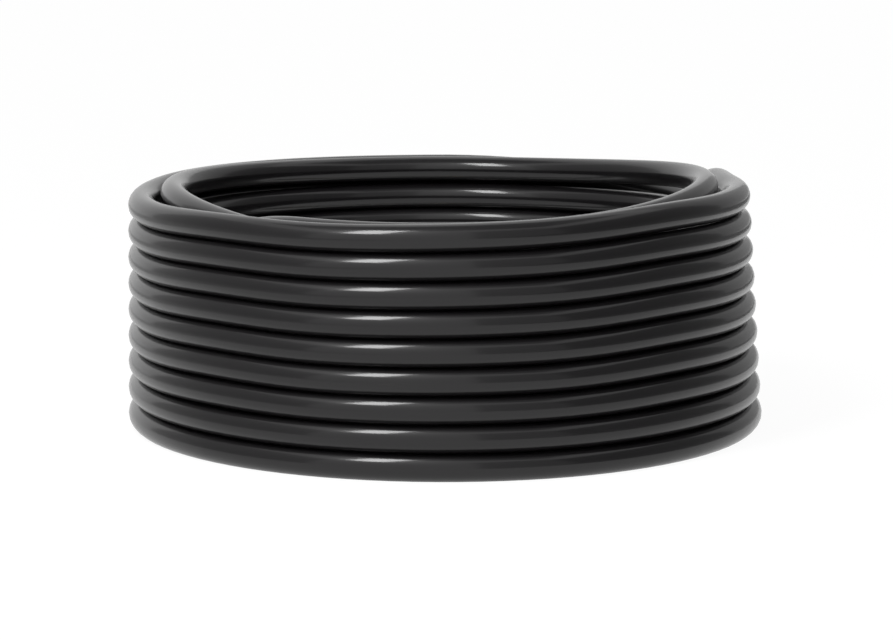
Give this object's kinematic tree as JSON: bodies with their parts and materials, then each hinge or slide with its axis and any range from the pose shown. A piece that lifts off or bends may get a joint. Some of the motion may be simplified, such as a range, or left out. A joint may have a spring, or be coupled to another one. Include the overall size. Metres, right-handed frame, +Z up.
{
  "type": "soaker hose",
  "caption": "Black garden soaker hose wound in a round coil of two layers, with a swivel inlet coupling and a screw end cap.",
  "frame": {"origin": "middle of the footprint, on the ground that the base turn lies on", "axes": "+Z up along the coil's axis, -Y to the front as pictured, -X along the inlet coupling, +X along the end cap"},
  "size_m": [0.4486, 0.4864, 0.1773],
  "materials": {
    "hose": "smooth black polyethylene, glossy",
    "brass": "turned brass, satin",
    "ferrule": "drawn and crimped, satin",
    "washer": "moulded rubber, matt",
    "restrictor": "moulded plastic, matt",
    "cap": "moulded plastic, ribbed"
  },
  "bodies": {
    "hose_assembly": {"hose": "hose", "inlet_stem": "brass", "inlet_ferrule": "ferrule", "outlet_stem": "brass", "outlet_ferrule": "ferrule"},
    "swivel_nut": {"inlet_nut": "brass", "inlet_washer": "washer", "flow_restrictor": "restrictor"},
    "cap_carrier": {"cap_washer": "washer"},
    "screw_cap": {"end_cap": "cap"}
  },
  "joints": [
    {"name": "inlet_nut_swivel", "type": "hinge", "parent": "hose_assembly", "child": "swivel_nut", "pos_m": [-0.01, 0.22745, 0.01605], "axis": [-1, 0, 0], "continuous": true},
    {"name": "end_cap_travel", "type": "slide", "parent": "hose_assembly", "child": "cap_carrier", "axis": [1, 0, 0], "range_m": [0, 0.00884]},
    {"name": "end_cap_turn", "type": "hinge", "parent": "cap_carrier", "child": "screw_cap", "pos_m": [0.005, 0.13466, 0.01605], "axis": [1, 0, 0], "range_deg": [0, 1440]}
  ],
  "couplings": [
    {"joint": "end_cap_travel", "follows": "end_cap_turn", "m_per_rad": 0.00035152}
  ]
}
